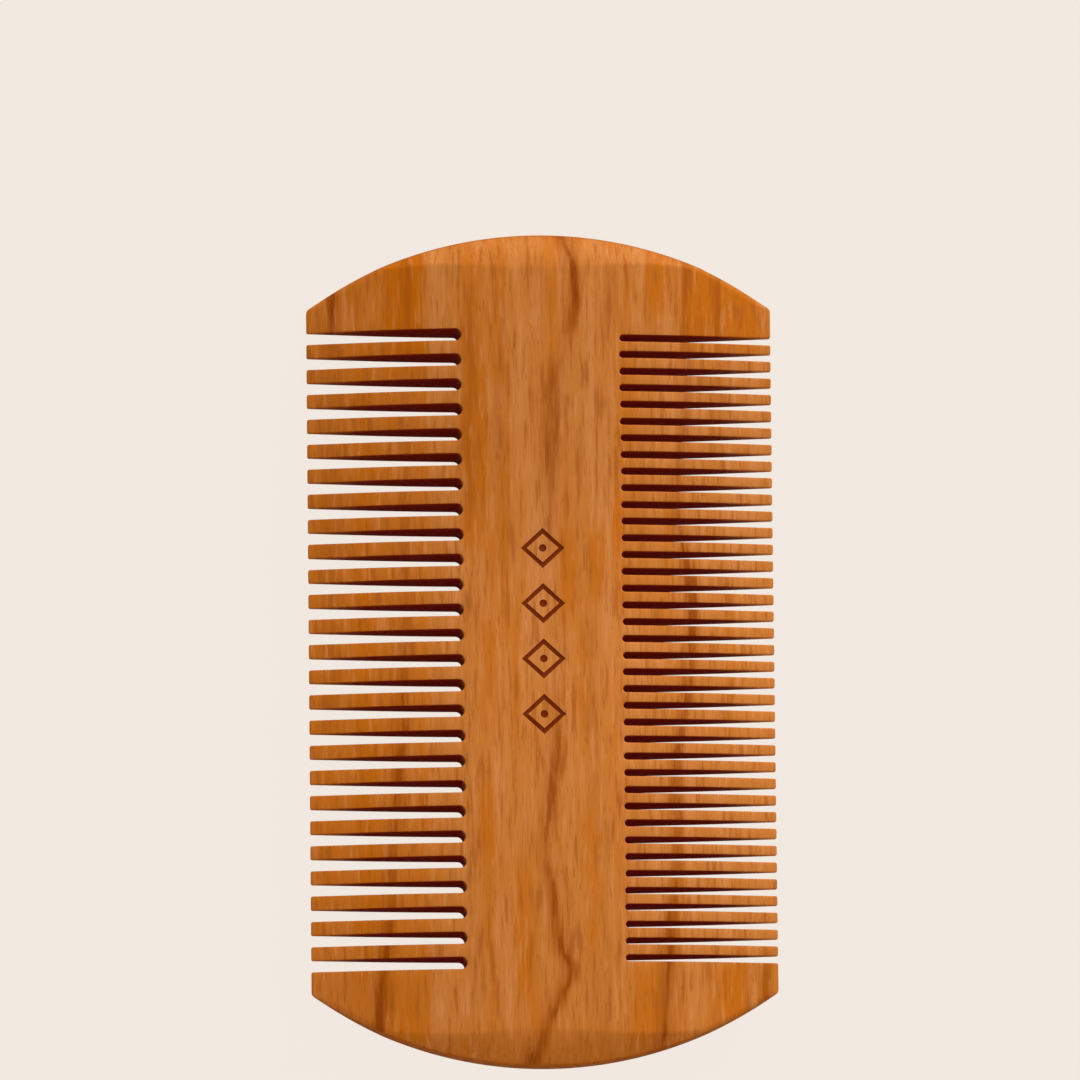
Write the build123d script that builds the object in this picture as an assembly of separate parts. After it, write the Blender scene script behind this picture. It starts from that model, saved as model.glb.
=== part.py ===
from build123d import *
import math
import os

# Two-sided beard comb, milled from one board of hardwood.
# Frame: the comb lies on its back. X runs across it, coarse teeth on -X and fine teeth on +X.
# Y runs along it, and Z is its thickness, with the marked face up.
# The origin is the centre of the flat strip that the back rests on.
# All sizes are in millimetres.

# Driving dimensions
LENGTH = 99.3  # Y, over the two curved ends
WIDTH = 55.4  # X, over the tips of both rows of teeth
THICKNESS = 9.4  # Z, at the spine
END_RADIUS = 48.2  # plan radius of each curved end

# Cross-section: a flat strip, then a bow, then a straight flank down to the tips
LAND_WIDTH = 4.0
BOW_RADIUS = 75.0
FLANK_START = 22.0  # distance from the middle where the bow becomes straight

# Bevel around each curved end, cut on both faces
BEVEL_RUN = 4.2
RIM_THICKNESS = 5.0
BEVEL_CROWN = 0.42  # how far the bevel bulges between its two edges

# Teeth: both rows are cut to the same depth and leave a guard at each end
ROOT_TO_MIDDLE = 9.4  # from the comb's middle to the bottom of a slot
COARSE_PITCH = 3.0
COARSE_SLOTS = 26
COARSE_ROOT_WIDTH = 1.42
COARSE_MOUTH_WIDTH = 1.36
FINE_PITCH = 2.0
FINE_SLOTS = 38
FINE_ROOT_WIDTH = 0.78
FINE_MOUTH_WIDTH = 0.82
TIP_ROUNDING = 0.2  # corner radius of a tooth's end, in plan
EDGE_ROUNDING = 0.18  # sanded radius of every edge that meets hair or hand

# Ornament burnt into the front face: a chain of open lozenges with a dot in each
MARK_CENTRE_Y = 1.9
MARK_DEPTH = 0.2
LOZENGES = 4
LOZENGE_PITCH = 6.6
LOZENGE_WIDTH = 5.2
LOZENGE_LENGTH = 4.8
LOZENGE_STROKE = 0.7
DOT_RADIUS = 0.45

HALF_WIDTH = WIDTH / 2
HALF_THICKNESS = THICKNESS / 2
END_CENTRE = LENGTH / 2 - END_RADIUS
CLEARANCE = 2.0  # how far a cutter reaches past the wood it removes
TOUCHING = 0.001  # two places closer than this are the same place
TURNED_ROUND = Rot(0, 0, 180)


def bow_height(x):
    """Half thickness of the section on the bow, at a distance x from the middle."""
    reach = x - LAND_WIDTH / 2
    return HALF_THICKNESS - BOW_RADIUS + math.sqrt(BOW_RADIUS**2 - reach**2)


def bowed_bar():
    """The board after its two faces are shaped, still square at both ends."""
    land = (LAND_WIDTH / 2, HALF_THICKNESS)
    middle_of_bow = (LAND_WIDTH / 2 + FLANK_START) / 2
    bow = (middle_of_bow, bow_height(middle_of_bow))
    flank = (FLANK_START, bow_height(FLANK_START))
    reach = FLANK_START - LAND_WIDTH / 2
    flank_slope = reach / math.sqrt(BOW_RADIUS**2 - reach**2)
    tip = (HALF_WIDTH, flank[1] - flank_slope * (HALF_WIDTH - FLANK_START))
    with BuildPart() as bar:
        with BuildSketch(Plane.XZ):
            with BuildLine():
                Line((0, HALF_THICKNESS), land)
                ThreePointArc(land, bow, flank)
                Polyline(flank, tip, (HALF_WIDTH, 0))
                mirror(about=Plane.YZ)
                mirror(about=Plane.XZ)
            make_face()
        extrude(amount=LENGTH / 2, both=True)
    return Pos(0, 0, HALF_THICKNESS) * bar.part


def end_cutter():
    """The wood turned away around the +Y end: outside the arc and over both bevels."""
    inner = END_RADIUS - BEVEL_RUN
    outer = math.hypot(HALF_WIDTH, END_RADIUS) + CLEARANCE
    above = HALF_THICKNESS + CLEARANCE
    half_rim = RIM_THICKNESS / 2
    crown = (END_RADIUS - BEVEL_RUN / 2, (HALF_THICKNESS + half_rim) / 2 + BEVEL_CROWN)
    with BuildPart() as cutter:
        with BuildSketch(Plane.XZ):
            with BuildLine():
                Line((END_RADIUS, 0), (END_RADIUS, half_rim))
                ThreePointArc((END_RADIUS, half_rim), crown, (inner, HALF_THICKNESS))
                Polyline((inner, HALF_THICKNESS), (inner, above), (outer, above), (outer, 0))
                mirror(about=Plane.XZ)
            make_face()
        revolve(axis=Axis.Z, revolution_arc=180)
    return Pos(0, END_CENTRE, HALF_THICKNESS) * cutter.part


def slot(root_width, mouth_width):
    """One slot of the +X row: round bottom, straight walls and a rounded mouth."""
    root_radius = root_width / 2
    wall_start = (ROOT_TO_MIDDLE + root_radius, root_radius)
    wall_end = (HALF_WIDTH - TIP_ROUNDING, mouth_width / 2)
    corner = (HALF_WIDTH, mouth_width / 2 + TIP_ROUNDING)
    outside = HALF_WIDTH + CLEARANCE
    with BuildSketch() as plan:
        with BuildLine():
            RadiusArc((ROOT_TO_MIDDLE, 0), wall_start, root_radius)
            Line(wall_start, wall_end)
            RadiusArc(wall_end, corner, -TIP_ROUNDING)
            Polyline(corner, (outside, corner[1]), (outside, 0))
            mirror(about=Plane.XZ)
        make_face()
    return Pos(0, 0, -CLEARANCE) * extrude(plan.sketch, THICKNESS + 2 * CLEARANCE)


def row_of_slots(count, pitch, root_width, mouth_width):
    """Every slot of one row, as solids to take out of the +X side."""
    one = slot(root_width, mouth_width)
    middle = (count - 1) / 2
    return [Pos(0, (number - middle) * pitch, 0) * one for number in range(count)]


def lozenge(width, length):
    """A diamond, width across X and length along Y."""
    return Polygon((width / 2, 0), (0, length / 2), (-width / 2, 0), (0, -length / 2))


def ornament():
    """The chain of lozenges and dots, as solids to take out of the front face."""
    hole = lozenge(LOZENGE_WIDTH - 2 * LOZENGE_STROKE, LOZENGE_LENGTH - 2 * LOZENGE_STROKE)
    ring = lozenge(LOZENGE_WIDTH, LOZENGE_LENGTH) - hole
    middle = (LOZENGES - 1) / 2
    shapes = []
    for number in range(LOZENGES):
        place = Pos(0, MARK_CENTRE_Y + (number - middle) * LOZENGE_PITCH)
        shapes += [place * ring, place * Circle(DOT_RADIUS)]
    floor = Pos(0, 0, THICKNESS - MARK_DEPTH)
    return [floor * extrude(shape, CLEARANCE) for shape in shapes]


def is_sanded(edge):
    """True for an edge of a tooth, a slot's rim, a guard's side or a curved end."""
    middle = edge @ 0.5
    from_end_centre = math.hypot(middle.X, abs(middle.Y) - END_CENTRE)
    on_end = abs(from_end_centre - END_RADIUS) < TOUCHING
    if abs((edge % 0.5).Z) > 1 - TOUCHING:
        return on_end
    half_row = (COARSE_SLOTS * COARSE_PITCH) / 2
    on_row = abs(middle.X) > ROOT_TO_MIDDLE - TOUCHING and abs(middle.Y) < half_row
    on_side = abs(abs(middle.X) - HALF_WIDTH) < TOUCHING
    on_smooth_join = abs(abs(middle.X) - FLANK_START) < TOUCHING
    return on_end or on_side or (on_row and not on_smooth_join)


def comb():
    """The whole comb, one piece of wood."""
    end = end_cutter()
    coarse = row_of_slots(COARSE_SLOTS, COARSE_PITCH, COARSE_ROOT_WIDTH, COARSE_MOUTH_WIDTH)
    fine = row_of_slots(FINE_SLOTS, FINE_PITCH, FINE_ROOT_WIDTH, FINE_MOUTH_WIDTH)
    cuts = [end, TURNED_ROUND * end] + ornament()
    cuts += fine + [TURNED_ROUND * one for one in coarse]
    milled = (bowed_bar() - cuts).solid()
    return milled.fillet(EDGE_ROUNDING, milled.edges().filter_by(is_sanded))


os.makedirs("parts", exist_ok=True)
export_step(comb(), "parts/comb_body.step")
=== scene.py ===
import math
import random
from collections import namedtuple

import bpy
import numpy as np
from mathutils import Matrix, Vector, noise
from mathutils.geometry import delaunay_2d_cdt


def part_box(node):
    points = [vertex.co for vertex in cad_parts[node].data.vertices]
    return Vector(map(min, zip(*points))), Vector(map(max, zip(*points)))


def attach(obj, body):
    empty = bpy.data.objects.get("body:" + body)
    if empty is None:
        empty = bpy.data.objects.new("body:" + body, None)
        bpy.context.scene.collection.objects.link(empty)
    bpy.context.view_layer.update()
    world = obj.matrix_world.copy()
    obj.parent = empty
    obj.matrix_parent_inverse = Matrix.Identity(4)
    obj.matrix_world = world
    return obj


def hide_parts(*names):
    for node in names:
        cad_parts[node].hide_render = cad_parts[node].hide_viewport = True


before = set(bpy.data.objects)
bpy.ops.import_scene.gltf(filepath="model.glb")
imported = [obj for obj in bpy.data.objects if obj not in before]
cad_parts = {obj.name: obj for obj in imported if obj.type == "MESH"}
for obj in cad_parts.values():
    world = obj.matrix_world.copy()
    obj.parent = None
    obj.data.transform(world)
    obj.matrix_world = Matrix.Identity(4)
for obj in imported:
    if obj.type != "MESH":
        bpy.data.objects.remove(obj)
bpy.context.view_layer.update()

# Two-sided wooden beard comb. The comb lies on its back, X across it, Y along it, front up.
# Shape sizes are in millimetres, and become metres when a mesh is made.
MM = 0.001
LOW, HIGH = (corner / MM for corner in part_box("comb_body"))
WIDTH, LENGTH, THICKNESS = HIGH - LOW
HALF_WIDTH = WIDTH / 2
HALF_THICKNESS = THICKNESS / 2

# Faces: a flat strip, a bow, then a straight flank to the tips
LAND_WIDTH = 4.0
BOW_RADIUS = 75.0
FLANK_START = 22.0
FLANK_REACH = FLANK_START - LAND_WIDTH / 2
FLANK_SLOPE = FLANK_REACH / math.sqrt(BOW_RADIUS**2 - FLANK_REACH**2)

# Curved ends and their bevels
END_RADIUS = 48.2
END_CENTRE = LENGTH / 2 - END_RADIUS
BEVEL_RUN = 4.2
RIM_HALF = 2.5
BEVEL_CROWN = 0.42
CORNER_Y = END_CENTRE + math.sqrt(END_RADIUS**2 - HALF_WIDTH**2)  # where an end meets a side
CORNER_TURN = math.atan2(CORNER_Y - END_CENTRE, HALF_WIDTH)  # the same place seen from the end's centre
END_STEPS = 96

# Teeth. A row's seed sets how its cuts stray from their drawn places.
Row = namedtuple("Row", "slots pitch root_width mouth_width seed")
FINE_ROW = Row(slots=38, pitch=2.0, root_width=0.78, mouth_width=0.82, seed=3)
COARSE_ROW = Row(slots=26, pitch=3.0, root_width=1.42, mouth_width=1.36, seed=5)
ROOT_TO_MIDDLE = 9.4
TIP_ROUNDING = 0.2
GUARD_SOFTENING = 0.35  # how far the softened corner of a guard reaches along its two sides
END_ARC_GAP = 1.5 * GUARD_SOFTENING  # how far from that corner the curved end's arc starts
WALL_STEPS = 14
ROOT_STEPS = 12
CORNER_STEPS = 3

# Hand sanding: the radius of the teeth's edges and the ends' edges, and its drift around the comb
EDGE_ROUNDING = 0.16
END_ROUNDING = 0.8
EDGE_VARIATION = 0.04
DRIFT_SCALE = 0.35
EDGE_STEPS = 4
SLOPE_PROBE = 0.1  # how far in from the edge the face's slope is measured

# How far cuts stray from their drawn places, along the comb and in depth
CUT_WANDER = 0.025
ROOT_WANDER = 0.05

# Ornament burnt into the front
MARK_MIDDLE = 1.9
MARK_DEPTH = 0.2
LOZENGES = 4
LOZENGE_PITCH = 6.6
LOZENGE_WIDTH = 5.2
LOZENGE_LENGTH = 4.8
LOZENGE_STROKE = 0.7
LOZENGE_HOLE = (LOZENGE_WIDTH - 2 * LOZENGE_STROKE, LOZENGE_LENGTH - 2 * LOZENGE_STROKE)
DOT_RADIUS = 0.45

# Points inside each face: spacing, rows beside the bevel's line, and the gap kept to the edges
GRID_STEP = 1.0
BEVEL_STEP = 0.5
BESIDE_LINE = 0.3
FACE_MARGIN = 0.8
LINE_START = 0.9  # share of the bevel where its line starts, clear of the rounded edge
LINE_STEPS = 60
LINE_END_STEPS = 4  # steps at each end of the line that have no rows beside them
DOT_STEPS = 24
MERGE_DISTANCE = 1e-7


def sides_of(x):
    """Half thickness of the faces across the comb, before the ends are bevelled."""
    reach = np.clip(np.abs(x) - LAND_WIDTH / 2, 0, None)
    on_bow = np.minimum(reach, FLANK_REACH)
    bow = HALF_THICKNESS - BOW_RADIUS + np.sqrt(BOW_RADIUS**2 - on_bow**2)
    return bow - FLANK_SLOPE * (reach - on_bow)


def bevel_at(share):
    """Half thickness on the bevel, from its inner edge (0) to the rim (1)."""
    return HALF_THICKNESS - (HALF_THICKNESS - RIM_HALF) * share + 4 * BEVEL_CROWN * share * (1 - share)


def half_thickness(x, y):
    """Half thickness of the comb at a place in plan."""
    from_centre = np.hypot(x, np.abs(y) - END_CENTRE)
    share = np.clip((from_centre - END_RADIUS + BEVEL_RUN) / BEVEL_RUN, 0, 1)
    return np.minimum(sides_of(x), bevel_at(share))


def arc(centre, radius, start, end, steps):
    """Points along an arc, both ends included, with angles in degrees."""
    angles = np.radians(np.linspace(start, end, steps + 1))
    return np.column_stack([centre[0] + radius * np.cos(angles), centre[1] + radius * np.sin(angles)])


def half_slot(root_width, mouth_width, depth_error):
    """From the tip of the tooth below a slot to the middle of the slot's round root."""
    lip = HALF_WIDTH - TIP_ROUNDING
    corner = arc((lip, -mouth_width / 2 - TIP_ROUNDING), TIP_ROUNDING, 0, 90, CORNER_STEPS)
    radius = root_width / 2
    centre = (ROOT_TO_MIDDLE + depth_error + radius, 0)
    root = arc(centre, radius, -90, -180, ROOT_STEPS // 2)
    along = np.linspace(0, 1, WALL_STEPS + 1)[1:-1, None]
    wall = corner[-1] + (root[0] - corner[-1]) * along
    return np.vstack([corner, wall, root])


def row_side(row):
    """The comb's +X side from its lower guard to its upper one, with one row's slots."""
    stray = random.Random(row.seed)
    parts = [guard_corner() * (1, -1)]
    for number in range(row.slots):
        lower = half_slot(row.root_width, row.mouth_width, stray.uniform(-1, 1) * ROOT_WANDER)
        upper = lower[-2::-1] * (1, -1)
        place = (number - (row.slots - 1) / 2) * row.pitch + stray.uniform(-1, 1) * CUT_WANDER
        parts.append(np.vstack([lower, upper]) + (0, place))
    parts.append(guard_corner()[::-1])
    return np.vstack(parts)


def guard_corner():
    """The softened corner between a curved end and the comb's side, from the end inwards."""
    along_end = np.array([-math.sin(CORNER_TURN), math.cos(CORNER_TURN)])
    on_end = (HALF_WIDTH, CORNER_Y) + GUARD_SOFTENING * along_end
    on_side = (HALF_WIDTH, CORNER_Y - GUARD_SOFTENING)
    tip = np.array([HALF_WIDTH, CORNER_Y])
    ease = np.linspace(0, 1, CORNER_STEPS + 1)[:, None]
    return (1 - ease) ** 2 * on_end + 2 * ease * (1 - ease) * tip + ease**2 * np.array(on_side)


def curved_end():
    """The +Y end, from the +X guard to the -X guard, without the two corners."""
    start = math.degrees(CORNER_TURN + END_ARC_GAP / END_RADIUS)
    return arc((0, END_CENTRE), END_RADIUS, start, 180 - start, END_STEPS)


def comb_outline():
    """The comb in plan: one closed loop, counter-clockwise, through every slot."""
    end = curved_end()
    return np.vstack([row_side(FINE_ROW), end, -row_side(COARSE_ROW), -end])


def inward(outline):
    """For each point of a loop, the step that moves its edges in by one unit."""
    before = outline - np.roll(outline, 1, axis=0)
    after = np.roll(outline, -1, axis=0) - outline
    normals = []
    for step in (before, after):
        step = step / np.linalg.norm(step, axis=1)[:, None]
        normals.append(np.column_stack([-step[:, 1], step[:, 0]]))
    total = normals[0] + normals[1]
    return 2 * total / (total**2).sum(axis=1)[:, None]


def edge_radius(outline):
    """The sanded edge's radius: larger on the curved ends, with a slow drift around the comb."""
    drift = [noise.noise(Vector((x, y, 0)) * DRIFT_SCALE) for x, y in outline]
    on_end = np.clip(np.abs(outline[:, 1]) - CORNER_Y, 0, 1)
    radius = EDGE_ROUNDING + (END_ROUNDING - EDGE_ROUNDING) * on_end
    return radius + EDGE_VARIATION * np.clip(drift, -1, 1)


def edge_rings(outline):
    """Rings of points from the upright wall over the rounded edge to the face, front half."""
    inset = inward(outline)
    radius = edge_radius(outline)
    rise = half_thickness(*(outline + inset * SLOPE_PROBE).T) - half_thickness(*outline.T)
    full_turn = math.pi / 2 - np.arctan(np.clip(rise / SLOPE_PROBE, 0, None))
    last = outline + inset * (radius * (1 - np.cos(full_turn)))[:, None]
    top = half_thickness(*last.T)
    rings = []
    for share in np.linspace(0, 1, EDGE_STEPS + 1):
        turn = full_turn * share
        plan = outline + inset * (radius * (1 - np.cos(turn)))[:, None]
        rings.append(np.column_stack([plan, top - radius * (np.sin(full_turn) - np.sin(turn))]))
    return rings


def lozenge_loop(centre_y, width, length):
    """Corners of one lozenge, in plan."""
    corners = np.array([(1, 0), (0, 1), (-1, 0), (0, -1)])
    return corners * (width / 2, length / 2) + (0, centre_y)


def in_lozenge(x, y, width, length):
    """True inside a lozenge about the origin."""
    return np.abs(x) / width + np.abs(y) / length < 0.5


def mark_centres():
    """Where each lozenge of the chain sits along the comb."""
    return [MARK_MIDDLE + (number - (LOZENGES - 1) / 2) * LOZENGE_PITCH for number in range(LOZENGES)]


def mark_loops():
    """Every closed line of the ornament."""
    loops = []
    for y in mark_centres():
        loops.append(lozenge_loop(y, LOZENGE_WIDTH, LOZENGE_LENGTH))
        loops.append(lozenge_loop(y, *LOZENGE_HOLE))
        loops.append(arc((0, y), DOT_RADIUS, 0, 360, DOT_STEPS)[:-1])
    return loops


def is_marked(x, y):
    """True inside the ornament's burnt strokes."""
    marked = np.zeros(len(x), bool)
    for centre in mark_centres():
        from_centre = y - centre
        ring = in_lozenge(x, from_centre, LOZENGE_WIDTH, LOZENGE_LENGTH)
        ring &= ~in_lozenge(x, from_centre, *LOZENGE_HOLE)
        marked |= ring | (np.hypot(x, from_centre) < DOT_RADIUS)
    return marked


def bevel_line():
    """The line where the face meets the +Y bevel, from +X to -X."""
    share = np.linspace(LINE_START, 0, LINE_STEPS)
    drop = HALF_THICKNESS - bevel_at(share)
    x = LAND_WIDTH / 2 + np.sqrt(BOW_RADIUS**2 - (BOW_RADIUS - drop) ** 2)
    ring = END_RADIUS - BEVEL_RUN * (1 - share)
    right = np.column_stack([x, END_CENTRE + np.sqrt(ring**2 - x**2)])
    return np.vstack([right, right[::-1] * (-1, 1)])


def bevel_points():
    """Rows of points that follow the curve of the +Y bevel."""
    rows = []
    for ring in np.arange(END_RADIUS - FACE_MARGIN, END_RADIUS - BEVEL_RUN - GRID_STEP, -BEVEL_STEP):
        reach = HALF_WIDTH - 2 * FACE_MARGIN
        widest = math.degrees(math.acos(reach / ring))
        steps = int(2 * reach / BEVEL_STEP)
        rows.append(arc((0, END_CENTRE), ring, widest, 180 - widest, steps))
    return np.vstack(rows)


def grid_points():
    """A grid over the spine and the guards, up to the bevels."""
    across = np.arange(-HALF_WIDTH + FACE_MARGIN, HALF_WIDTH - FACE_MARGIN, GRID_STEP)
    along = np.arange(-LENGTH / 2, LENGTH / 2, GRID_STEP)
    x, y = (part.ravel() for part in np.meshgrid(across, along))
    half_row = np.where(x < 0, COARSE_ROW.slots * COARSE_ROW.pitch, FINE_ROW.slots * FINE_ROW.pitch) / 2
    on_spine = np.abs(x) < ROOT_TO_MIDDLE - FACE_MARGIN
    on_guard = np.abs(y) > half_row + FACE_MARGIN / 2
    in_face = np.hypot(x, np.abs(y) - END_CENTRE) < END_RADIUS - BEVEL_RUN - GRID_STEP
    return np.column_stack([x, y])[(on_spine | on_guard) & in_face]


def inside(points, loop):
    """Even-odd test of points against one closed loop, one edge of the loop at a time."""
    found = np.zeros(len(points), bool)
    x, y = points.T
    for (x0, y0), (x1, y1) in zip(loop, np.roll(loop, -1, axis=0)):
        if y0 != y1:
            crosses = (y0 > y) != (y1 > y)
            found ^= crosses & (x < x0 + (y - y0) / (y1 - y0) * (x1 - x0))
    return found


def closed(first, count):
    """The edges of a closed loop of points."""
    return [(first + i, first + (i + 1) % count) for i in range(count)]


def face_triangles(ring):
    """Triangles that fill the face inside its last edge ring: (points, triangles, marked)."""
    points = [ring]
    edges = closed(0, len(ring))
    count = len(ring)
    for loop in mark_loops():
        edges += closed(count, len(loop))
        points.append(loop)
        count += len(loop)
    for line in (bevel_line(), -bevel_line()):
        edges += closed(count, len(line))[:-1]
        points.append(line)
        count += len(line)
    middle = bevel_line()[LINE_END_STEPS:-LINE_END_STEPS]
    beside = np.vstack([middle - (0, BESIDE_LINE), middle + (0, BESIDE_LINE)])
    points += [beside, -beside, bevel_points(), -bevel_points(), grid_points()]
    points = np.vstack(points)
    found = delaunay_2d_cdt([Vector(point) for point in points], edges, [], 0, MERGE_DISTANCE, True)
    if len(found[0]) != len(points):
        raise ValueError("the face's lines cross each other")
    order = [source[0] for source in found[3]]
    triangles = np.array([[order[i] for i in face] for face in found[2]])
    middles = points[triangles].mean(axis=1)
    kept = inside(middles, ring)
    return points, triangles[kept], is_marked(*middles[kept].T)


class Points:
    """The comb's points, added block by block."""

    def __init__(self):
        self.blocks = []
        self.count = 0

    def add(self, plan, height):
        """Adds points at these places in plan and heights, and returns their numbers."""
        self.blocks.append(np.column_stack([plan, height]))
        self.count += len(plan)
        return np.arange(self.count - len(plan), self.count)


def stroke_edges(triangles):
    """The edges around an area of triangles, each in its triangle's own direction."""
    edges = {(a, b) for face in triangles.tolist() for a, b in zip(face, face[1:] + face[:1])}
    return sorted((a, b) for a, b in edges if (b, a) not in edges)


def build_comb():
    """The comb as one closed mesh: walls, rounded edges, two faces and the sunk ornament."""
    outline = comb_outline()
    around = len(outline)
    front = edge_rings(outline)
    plan, triangles, marked = face_triangles(front[-1][:, :2])
    height = half_thickness(*plan.T)
    sunk = np.unique(triangles[marked])

    points = Points()
    rings = [points.add(ring[:, :2], -ring[:, 2]) for ring in reversed(front)]
    rings += [points.add(ring[:, :2], ring[:, 2]) for ring in front]
    top = np.concatenate([rings[-1], points.add(plan[around:], height[around:])])
    bottom = np.concatenate([rings[0], points.add(plan[around:], -height[around:])])
    floor = np.zeros(len(plan), int)
    floor[sunk] = points.add(plan[sunk], height[sunk] - MARK_DEPTH)

    faces = []
    for low, high in zip(rings, rings[1:]):
        faces += np.column_stack([low, np.roll(low, -1), np.roll(high, -1), high]).tolist()
    faces += bottom[triangles[:, ::-1]].tolist()
    faces += top[triangles[~marked]].tolist()
    burnt_from = len(faces)
    strokes = stroke_edges(triangles[marked])
    faces += floor[triangles[marked]].tolist()
    faces += [[floor[b], floor[a], top[a], top[b]] for a, b in strokes]
    crisp = [(level[a], level[b]) for a, b in strokes for level in (top, floor)]
    return comb_object(np.vstack(points.blocks), faces, burnt_from, crisp)


def comb_object(points, faces, burnt_from, crisp):
    """The object made from these points and faces, with the burnt faces in the second material."""
    used = np.unique(np.concatenate([np.ravel(face) for face in faces]))
    number = np.zeros(len(points), int)
    number[used] = np.arange(len(used))
    corners = (points[used] + (0, 0, HALF_THICKNESS)) * MM
    mesh = bpy.data.meshes.new("beard_comb")
    mesh.from_pydata(corners.tolist(), [], [[int(number[i]) for i in face] for face in faces])
    burnt = np.arange(len(faces)) >= burnt_from
    mesh.polygons.foreach_set("material_index", burnt.astype(np.int32))
    mesh.validate()
    sharpen(mesh, [(number[a], number[b]) for a, b in crisp])
    comb = bpy.data.objects.new("beard_comb", mesh)
    bpy.context.collection.objects.link(comb)
    return comb


def sharpen(mesh, pairs):
    """Smooth shading everywhere but along these edges."""
    mesh.shade_smooth()
    crisp = {tuple(sorted(pair)) for pair in pairs}
    for edge in mesh.edges:
        edge.use_edge_sharp = tuple(sorted(edge.vertices)) in crisp


class Graph:
    """Short calls that add nodes to one material."""

    def __init__(self, name):
        self.material = bpy.data.materials.new(name)
        self.material.use_nodes = True
        self.tree = self.material.node_tree
        self.tree.nodes.clear()

    def add(self, kind, inputs=(), **settings):
        """A new node, with each input linked or set and each setting applied."""
        node = self.tree.nodes.new(kind)
        for key, value in settings.items():
            setattr(node, key, value)
        for key, value in dict(inputs).items():
            if isinstance(value, bpy.types.NodeSocket):
                self.tree.links.new(value, node.inputs[key])
            else:
                node.inputs[key].default_value = value
        return node

    def math(self, operation, *values):
        return self.add("ShaderNodeMath", enumerate(values), operation=operation).outputs[0]

    def vector(self, operation, *values):
        return self.add("ShaderNodeVectorMath", enumerate(values), operation=operation).outputs[0]

    def combine(self, x, y, z):
        return self.add("ShaderNodeCombineXYZ", {"X": x, "Y": y, "Z": z}).outputs[0]

    def noise(self, place, scales, detail=3.0, roughness=0.55, shift=0.0):
        """Noise from 0 to 1, with its own scale along each axis and its own shift."""
        place = self.vector("MULTIPLY", place, scales)
        place = self.vector("ADD", place, (shift, shift * 1.7, shift * 0.6))
        inputs = {"Vector": place, "Scale": 1.0, "Detail": detail, "Roughness": roughness}
        return self.add("ShaderNodeTexNoise", inputs).outputs["Fac"]

    def ease(self, value, low, high, to_low=0.0, to_high=1.0):
        """A smooth step from to_low to to_high as value goes from low to high."""
        inputs = {"Value": value, "From Min": low, "From Max": high, "To Min": to_low, "To Max": to_high}
        node = self.add("ShaderNodeMapRange", inputs, interpolation_type="SMOOTHSTEP")
        return node.outputs["Result"]

    def mix(self, share, first, second, blend="MIX"):
        """Two colours mixed, with share going to the second."""
        node = self.add("ShaderNodeMix", {0: share, 6: first, 7: second}, data_type="RGBA", blend_type=blend)
        return node.outputs[2]

    def lay(self, tone, other, pattern, bare, full, strength):
        """Lays another tone on this one where a pattern goes from its bare level to its full one."""
        return self.mix(self.ease(pattern, bare, full, 0.0, strength), tone, other)

    def ridge(self, offset, below, above):
        """1 on a line, falling to 0 at the reach given for each of its sides."""
        return self.math("MULTIPLY", self.ease(offset, -below, 0.0), self.ease(offset, above, 0.0))

    def curve(self, value, points):
        """A smooth curve through (input, output) points, all of them from 0 to 1."""
        node = self.add("ShaderNodeFloatCurve", {"Value": value})
        line = node.mapping.curves[0]
        while len(line.points) < len(points):
            line.points.new(0.5, 0.5)
        for point, place in zip(line.points, points):
            point.location = place
        node.mapping.update()
        return node.outputs[0]


def colour(red, green, blue):
    """A screen colour, 0 to 255 a channel, as the linear colour that nodes take."""
    parts = [channel / 255 for channel in (red, green, blue)]
    parts = [part / 12.92 if part <= 0.04045 else ((part + 0.055) / 1.055) ** 2.4 for part in parts]
    return (*parts, 1.0)


TAN = colour(192, 116, 50)
PALE = colour(212, 143, 90)
DUSKY = colour(160, 85, 30)
OCHRE = colour(186, 98, 2)
DARK_OCHRE = colour(154, 74, 0)
LATE_WOOD = colour(132, 56, 2)
END_GRAIN = colour(166, 86, 6)
# Painted shade for the slots' walls: a dark red that stands in for the shade between the teeth, not the
# wood's own colour
PAINTED_SLOT_SHADE = colour(112, 34, 12)
# Painted light: a faint red glow on the slots' walls that stands in for light bounced between the teeth
PAINTED_BOUNCE_GLOW = colour(56, 6, 2)
SHADE_REACH = 8.0  # how far in from the tips the painted shade on the slots' walls reaches its full darkness
BURNT = colour(116, 34, 0)

# Oiled surface: the share of the shine on the faces and on cut ends, and the relief of the grain
WARM_SHEEN = colour(255, 205, 130)
FACE_SHEEN = 0.3
CUT_SHEEN = 0.05
OIL_IOR = 1.3
RELIEF = 0.35
RELIEF_DEPTH = 0.05
PORE_RELIEF = -1.5  # pores are sunk, by this share of the dashes' height

# How finely each pattern varies across the board, along it and through it, per millimetre
RAGGED_SCALES = (1.5, 0.11, 0.3)
BREAK_SCALES = (0.7, 0.22, 0.25)
BAND_SCALES = (0.24, 0.02, 0.08)
BLUSH_SCALES = (0.36, 0.03, 0.12)
DASH_SCALES = (1.7, 0.17, 0.4)
PORE_SCALES = (6.5, 0.5, 2.2)
END_RING_SCALES = (0.9, 0.01, 0.16)
END_PORE_SCALES = (3.6, 0.6, 3.6)

RAGGED_REACH = 1.4  # how far a growth line or a patch strays from its drawn place
RING_LEAN = 0.3  # how far a growth line moves across the comb for each unit of depth

# How far a growth line's ochre halo and its dark core reach, on the -X side and on the +X side
HALO_REACH = (2.0, 1.4)
CORE_REACH = (0.7, 0.5)

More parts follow.
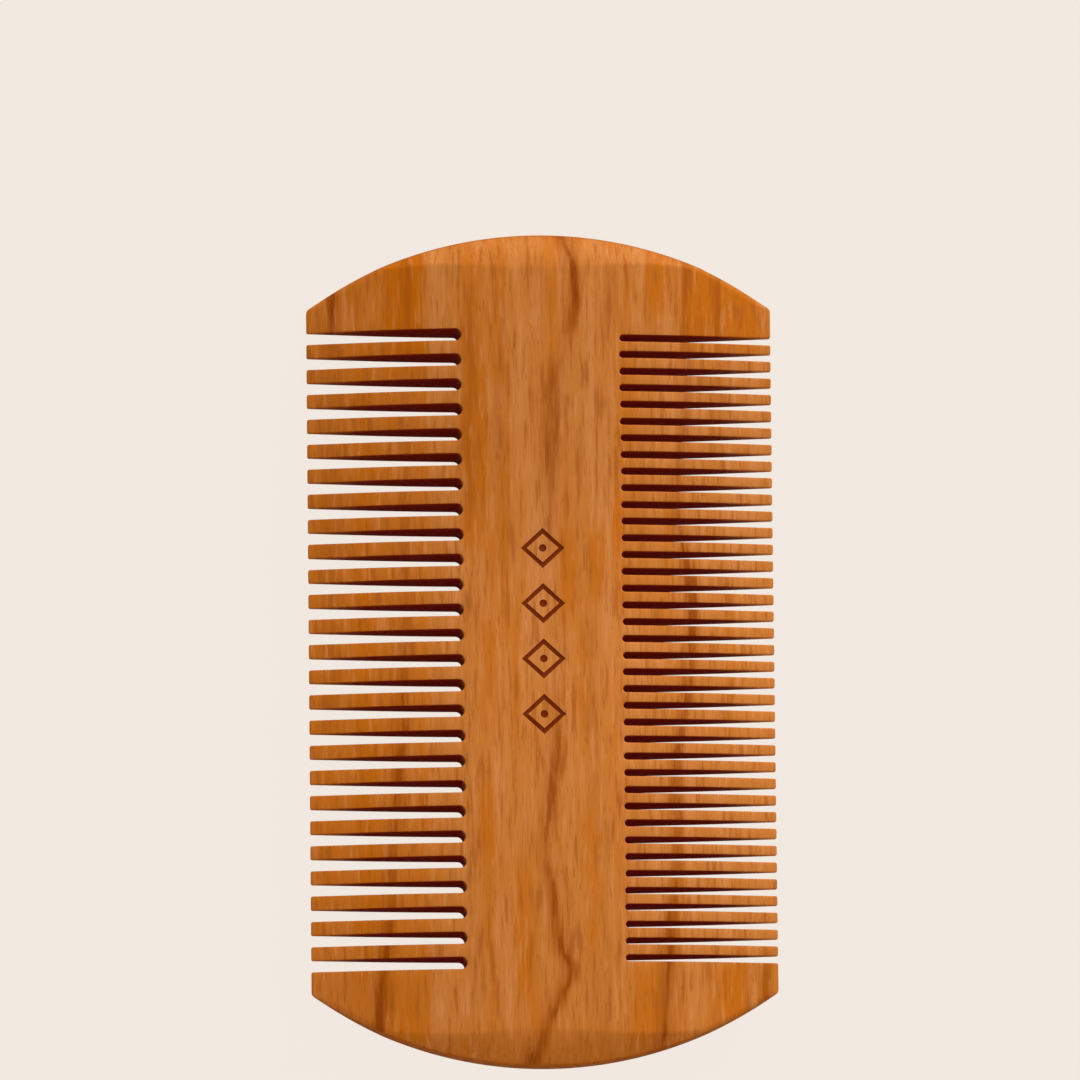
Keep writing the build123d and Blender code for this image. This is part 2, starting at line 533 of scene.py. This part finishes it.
# Growth lines: (place along the comb, place across it, strength), from the -Y end to the +Y end
CENTRE_LINE = [
    (-50, -1.4, 0.9), (-46, -0.3, 0.8), (-41.6, 1.6, 0.8), (-38.5, 2.8, 1.0), (-36, 1.8, 0.9),
    (-29, 1.0, 0.8), (-25, 0.2, 0.6), (-18, 0.9, 0.8), (2, 1.6, 0.1), (16, 0.9, 0.3), (27, 1.6, 0.6),
    (33, 1.8, 0.6), (35.5, 2.8, 0.2), (38, 3.6, 0.8), (42, 4.3, 1.0), (50, 3.1, 0.9),
]
LEFT_LINE = [
    (-50, -19.5, 0.7), (-38, -18.5, 1.0), (-26, -17.6, 0.6), (-11, -16.4, 0.8), (10, -15.7, 0.3),
    (50, -15.5, 0.3),
]
RIGHT_LINE = [
    (-50, 13.9, 0.8), (-38, 14.7, 1.0), (-24, 16.1, 0.7), (-15, 16.0, 0.8), (-2, 18.1, 0.9), (9, 18.0, 0.8),
    (17, 16.6, 0.5), (30, 17.9, 0.3), (50, 17.7, 0.4),
]

# Patches of another tone: (tone, place across, half width, lower end, upper end, strength)
PATCHES = [
    (OCHRE, -22.5, 9.0, -60, 60, 0.62),
    (OCHRE, 0.0, 40.0, -60, -46, 0.5),
    (OCHRE, -8.0, 1.3, 12, 48, 0.6),
    (DARK_OCHRE, -8.4, 0.5, 16, 42, 0.45),
    (DARK_OCHRE, -14.8, 0.9, 36, 50, 0.5),
    (OCHRE, -2.6, 0.8, -40, -26, 0.6),
    (OCHRE, 5.6, 0.8, -36, -20, 0.5),
    (OCHRE, -15.7, 2.0, 34, 50, 0.9),
    (DARK_OCHRE, -24.0, 1.1, -8, 38, 0.35),
    (LATE_WOOD, -23.6, 0.5, 38, 45, 0.9),
    (OCHRE, -20.3, 1.0, -38, 38, 0.7),
    (OCHRE, 22.5, 4.8, 36, 50, 0.85),
    (DARK_OCHRE, 22.1, 0.5, 37, 46, 0.6),
    (OCHRE, 14.4, 1.2, 40, 48, 0.7),
    (DARK_OCHRE, 27.2, 0.7, -44, -37, 0.8),
    (OCHRE, 23.2, 1.6, -45, -37, 0.8),
    (OCHRE, 12.0, 1.6, -46, -37, 0.7),
    (OCHRE, 6.5, 0.9, 6, 14, 0.7),
    (OCHRE, 9.2, 0.6, 5, 18, 0.7),
    (OCHRE, 2.9, 0.9, 4, 13, 0.7),
    (OCHRE, -7.0, 0.8, -24, -17, 0.7),
    (OCHRE, -6.6, 0.7, -5, 3, 0.6),
]

# The board's slow change of tone along its length: (place, brightness)
TONE_ALONG = [(-50, 1.0), (-30, 1.01), (0, 1.04), (25, 0.94), (50, 0.98)]


class Grain:
    """Where a point of the surface is in the board, in millimetres along and across the grain."""

    def __init__(self, graph):
        inputs = {0: graph.add("ShaderNodeTexCoord").outputs["Object"], "Scale": 1 / MM}
        place = graph.add("ShaderNodeVectorMath", inputs, operation="SCALE").outputs[0]
        self.x, self.y, self.z = graph.add("ShaderNodeSeparateXYZ", {0: place}).outputs
        depth = graph.math("SUBTRACT", self.z, THICKNESS)
        self.place = place
        leaning = graph.math("MULTIPLY_ADD", depth, -RING_LEAN, self.x)
        ragged = graph.noise(place, RAGGED_SCALES, roughness=0.7, shift=4.0)
        stray = graph.math("MULTIPLY_ADD", ragged, 2 * RAGGED_REACH, -RAGGED_REACH)
        self.across = graph.math("ADD", leaning, stray)
        self.along = graph.math("MULTIPLY_ADD", self.y, 1 / LENGTH, 0.5)


def add_growth_line(graph, grain, tone, line, core_strength):
    """Lays one growth line on the tone: a wide ochre halo and a thin broken dark core."""
    path = [(place / LENGTH + 0.5, x / WIDTH + 0.5) for place, x, strength in line]
    level = [(place / LENGTH + 0.5, strength) for place, x, strength in line]
    middle = graph.math("MULTIPLY_ADD", graph.curve(grain.along, path), WIDTH, -HALF_WIDTH)
    strength = graph.curve(grain.along, level)
    offset = graph.math("SUBTRACT", grain.across, middle)
    halo = graph.ridge(offset, *HALO_REACH)
    tone = graph.mix(graph.math("MULTIPLY", halo, graph.math("MULTIPLY", strength, 0.8)), tone, DARK_OCHRE)
    core = graph.ridge(offset, *CORE_REACH)
    broken = graph.ease(graph.noise(grain.place, BREAK_SCALES, shift=19.0), 0.38, 0.56, 0.25, 0.95)
    core = graph.math("MULTIPLY", core, graph.math("MULTIPLY", strength, broken))
    return graph.mix(graph.math("MULTIPLY", core, core_strength), tone, LATE_WOOD)


def add_patch(graph, grain, tone, patch):
    """Lays one patch of another tone on the tone, with ragged sides and fading ends."""
    other, across, half_width, low, high, strength = patch
    offset = graph.math("ABSOLUTE", graph.math("SUBTRACT", grain.across, across))
    share = graph.ease(offset, half_width + 0.6, half_width - 0.4, 0.0, strength)
    share = graph.math("MULTIPLY", share, graph.ease(grain.y, low - 3, low + 2))
    share = graph.math("MULTIPLY", share, graph.ease(grain.y, high + 3, high - 2))
    return graph.mix(share, tone, other)


def wood_colour(graph, grain):
    """The board's figure: broad bands, patches, streaks, dashes, pores and three growth lines."""
    broad = graph.noise(grain.place, BAND_SCALES, detail=4.0, roughness=0.6, shift=1.3)
    tone = graph.lay(TAN, OCHRE, broad, 0.5, 0.6, 0.5)
    blush = graph.noise(grain.place, BLUSH_SCALES, shift=7.0)
    tone = graph.lay(tone, PALE, blush, 0.48, 0.68, 0.3)
    tone = graph.lay(tone, DUSKY, blush, 0.46, 0.3, 0.3)
    for patch in PATCHES:
        tone = add_patch(graph, grain, tone, patch)
    dashes = graph.noise(grain.place, DASH_SCALES, detail=2.0, shift=11.0)
    tone = graph.lay(tone, DUSKY, dashes, 0.53, 0.7, 0.66)
    tone = graph.lay(tone, PALE, dashes, 0.47, 0.28, 0.36)
    for line, core_strength in ((CENTRE_LINE, 0.85), (LEFT_LINE, 0.9), (RIGHT_LINE, 0.9)):
        tone = add_growth_line(graph, grain, tone, line, core_strength)
    pores = graph.noise(grain.place, PORE_SCALES, detail=1.0, shift=23.0)
    tone = graph.lay(tone, DARK_OCHRE, pores, 0.56, 0.74, 0.4)
    half_bright = [(place / LENGTH + 0.5, brightness / 2) for place, brightness in TONE_ALONG]
    bright = graph.math("MULTIPLY", graph.curve(grain.along, half_bright), 2.0)
    tone = graph.mix(1.0, tone, graph.combine(bright, bright, bright), blend="MULTIPLY")
    return tone, dashes, pores


def end_grain_share(graph):
    """1 where the surface cuts across the grain, as in the slots, and 0 along it."""
    normal = graph.add("ShaderNodeTexCoord").outputs["Normal"]
    along = graph.math("ABSOLUTE", graph.add("ShaderNodeSeparateXYZ", {0: normal}).outputs[1])
    return graph.ease(along, 0.6, 0.95)


def end_grain(graph, grain, tone):
    """The cut ends of the fibres: the figure shows faintly, speckled with open pores."""
    rings = graph.noise(grain.place, END_RING_SCALES, detail=4.0, shift=31.0)
    tone = graph.mix(0.7, tone, END_GRAIN)
    tone = graph.lay(tone, DARK_OCHRE, rings, 0.45, 0.62, 0.5)
    specks = graph.noise(grain.place, END_PORE_SCALES, detail=2.0, shift=37.0)
    return graph.lay(tone, LATE_WOOD, specks, 0.56, 0.7, 0.6)


def slot_shares(graph, grain):
    """1 among the teeth, and the same but fading from the roots to 0 at the tips, where the painted shade on
    the slots' walls lies.
    """
    side = graph.math("ABSOLUTE", grain.x)
    last_wall = (COARSE_ROW.slots - 1) * COARSE_ROW.pitch / 2 + COARSE_ROW.mouth_width / 2
    among = graph.ease(side, ROOT_TO_MIDDLE - 0.6, ROOT_TO_MIDDLE)
    in_row = graph.ease(graph.math("ABSOLUTE", grain.y), last_wall + 0.4, last_wall + 0.2)
    among = graph.math("MULTIPLY", among, in_row)
    return among, graph.math("MULTIPLY", among, graph.ease(side, HALF_WIDTH - 1, HALF_WIDTH - SHADE_REACH))


def finish_material(graph, base, roughness, height, sheen=FACE_SHEEN, painted_glow=0.0):
    """Connects colour, roughness and relief to a satin oiled surface, with a painted red glow of bounced
    light where the glow share is above 0.
    """
    bump = graph.add("ShaderNodeBump", {"Height": height, "Strength": RELIEF, "Distance": RELIEF_DEPTH * MM})
    inputs = {"Base Color": base, "Roughness": roughness, "Normal": bump.outputs[0], "IOR": OIL_IOR}
    inputs.update({"Specular IOR Level": sheen, "Specular Tint": WARM_SHEEN})
    inputs.update({"Emission Color": PAINTED_BOUNCE_GLOW, "Emission Strength": painted_glow})
    surface = graph.add("ShaderNodeBsdfPrincipled", inputs)
    graph.add("ShaderNodeOutputMaterial", {"Surface": surface.outputs[0]})
    return graph.material


def oiled_wood():
    """Oiled hardwood, with painted shade on the slots' walls, dark red near the roots and fading toward the
    tips, and a faint painted red glow there that stands in for light bounced between the teeth.
    """
    graph = Graph("oiled_wood")
    grain = Grain(graph)
    tone, dashes, pores = wood_colour(graph, grain)
    cut = end_grain_share(graph)
    among, slot_shade = slot_shares(graph, grain)
    # Painted shade: the slots' walls darken to a dark red toward the roots, and the same mask sets the
    # painted glow
    wall = graph.math("MULTIPLY", cut, slot_shade)
    on_end = graph.math("MULTIPLY", cut, graph.math("SUBTRACT", 1.0, among))
    tone = graph.mix(on_end, tone, end_grain(graph, grain, tone))
    tone = graph.mix(wall, tone, PAINTED_SLOT_SHADE)
    roughness = graph.ease(dashes, 0.3, 0.7, 0.42, 0.54)
    sheen = graph.math("MULTIPLY_ADD", cut, CUT_SHEEN - FACE_SHEEN, FACE_SHEEN)
    height = graph.math("MULTIPLY_ADD", pores, PORE_RELIEF, dashes)
    return finish_material(graph, tone, roughness, height, sheen, wall)


def burnt_wood():
    """The ornament's scorched floor, with the grain still showing through."""
    graph = Graph("burnt_wood")
    tone, dashes, pores = wood_colour(graph, Grain(graph))
    tone = graph.mix(0.93, tone, BURNT)
    return finish_material(graph, tone, 0.62, graph.math("SUBTRACT", dashes, pores))


# Studio: the floor as the camera sees it and as it lights the comb, and the light from all round.
# The reach and the gap are in metres.
PALE_FLOOR = colour(242, 233, 224)
DIM_FLOOR = colour(190, 180, 168)
SHADOW_SHARE = 0.02  # how much of the floor's seen tone comes from light that falls on it
STUDIO_LIGHT = colour(255, 250, 244)
AMBIENT = 0.7
FLOOR_REACH = 6.0
FLOOR_GAP = 0.02 * MM  # keeps the floor apart from the flat strip that rests on it


def floor():
    """A plain pale floor, mostly its own even tone to the camera, with a faint shadow."""
    mesh = bpy.data.meshes.new("floor")
    turns = ((-1, -1), (1, -1), (1, 1), (-1, 1))
    corners = [(x * FLOOR_REACH, y * FLOOR_REACH, -FLOOR_GAP) for x, y in turns]
    mesh.from_pydata(corners, [], [(0, 1, 2, 3)])
    plane = bpy.data.objects.new("floor", mesh)
    bpy.context.collection.objects.link(plane)
    graph = Graph("pale_floor")
    seen = graph.add("ShaderNodeLightPath").outputs["Is Camera Ray"]
    paper = graph.add("ShaderNodeBsdfDiffuse", {"Color": graph.mix(seen, DIM_FLOOR, PALE_FLOOR)})
    even = graph.add("ShaderNodeEmission", {"Color": PALE_FLOOR, "Strength": 1.0})
    share = graph.math("MULTIPLY", seen, 1 - SHADOW_SHARE)
    surface = graph.add("ShaderNodeMixShader", {0: share, 1: paper.outputs[0], 2: even.outputs[0]})
    graph.add("ShaderNodeOutputMaterial", {"Surface": surface.outputs[0]})
    mesh.materials.append(graph.material)


def world_light():
    """Even light from all round, and the floor's tone behind everything."""
    world = bpy.data.worlds.new("studio")
    bpy.context.scene.world = world
    world.use_nodes = True
    nodes, links = world.node_tree.nodes, world.node_tree.links
    nodes.clear()
    seen = nodes.new("ShaderNodeLightPath")
    around = nodes.new("ShaderNodeBackground")
    around.inputs["Color"].default_value = STUDIO_LIGHT
    around.inputs["Strength"].default_value = AMBIENT
    behind = nodes.new("ShaderNodeBackground")
    behind.inputs["Color"].default_value = PALE_FLOOR
    choice = nodes.new("ShaderNodeMixShader")
    output = nodes.new("ShaderNodeOutputWorld")
    links.new(seen.outputs["Is Camera Ray"], choice.inputs[0])
    links.new(around.outputs[0], choice.inputs[1])
    links.new(behind.outputs[0], choice.inputs[2])
    links.new(choice.outputs[0], output.inputs[0])


# Camera: lens and sensor in millimetres, distances in metres, angles in degrees.
# It aims at a place this far from the comb's centre, in millimetres.
CAMERA_LENS = 392.9
CAMERA_SENSOR = 36
CAMERA_CLIP = 0.05
CAMERA_DISTANCE = 1.4
CAMERA_TILT = 6.4
CAMERA_YAW = 3.0
CAMERA_ROLL = -0.6
AIM_OFFSET = (-0.06, 13.32)
COMB_CENTRE = Vector((0, 0, HALF_THICKNESS * MM))


def soft_light(name, direction, distance, size, power):
    """A large square studio light that faces the comb."""
    light = bpy.data.lights.new(name, "AREA")
    light.shape = "SQUARE"
    light.size = size
    light.energy = power
    lamp = bpy.data.objects.new(name, light)
    bpy.context.collection.objects.link(lamp)
    toward = Vector(direction).normalized()
    lamp.location = COMB_CENTRE + toward * distance
    lamp.rotation_euler = toward.to_track_quat("Z", "Y").to_euler()


def lights():
    """A key light from beyond the +Y end and a weaker one overhead."""
    soft_light("key", direction=(0.45, 0.85, 0.3), distance=1.2, size=0.7, power=12.8)
    soft_light("overhead", direction=(0.3, 0.1, 1.0), distance=1.4, size=0.9, power=2.0)


def camera():
    """Looks down on the comb, a little from its -Y end and from its -X side."""
    lens = bpy.data.cameras.new("camera")
    lens.sensor_width = CAMERA_SENSOR
    lens.lens = CAMERA_LENS
    lens.clip_start = CAMERA_CLIP
    eye = bpy.data.objects.new("camera", lens)
    bpy.context.collection.objects.link(eye)
    tilt, yaw = math.radians(CAMERA_TILT), math.radians(CAMERA_YAW)
    eye.location = COMB_CENTRE + CAMERA_DISTANCE * Vector((-math.sin(yaw), -math.sin(tilt), math.cos(tilt)))
    target = COMB_CENTRE + Vector((*AIM_OFFSET, 0)) * MM
    back = (eye.location - target).normalized()
    right = Vector((0, 1, 0)).cross(back).normalized()
    facing = Matrix((right, back.cross(right), back)).transposed()
    eye.rotation_euler = (facing @ Matrix.Rotation(math.radians(CAMERA_ROLL), 3, "Z")).to_euler()
    bpy.context.scene.camera = eye


comb = build_comb()
comb.data.materials.append(oiled_wood())
comb.data.materials.append(burnt_wood())
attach(comb, "root")
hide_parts("comb_body")
floor()
world_light()
lights()
camera()
bpy.context.scene.view_settings.view_transform = "Standard"
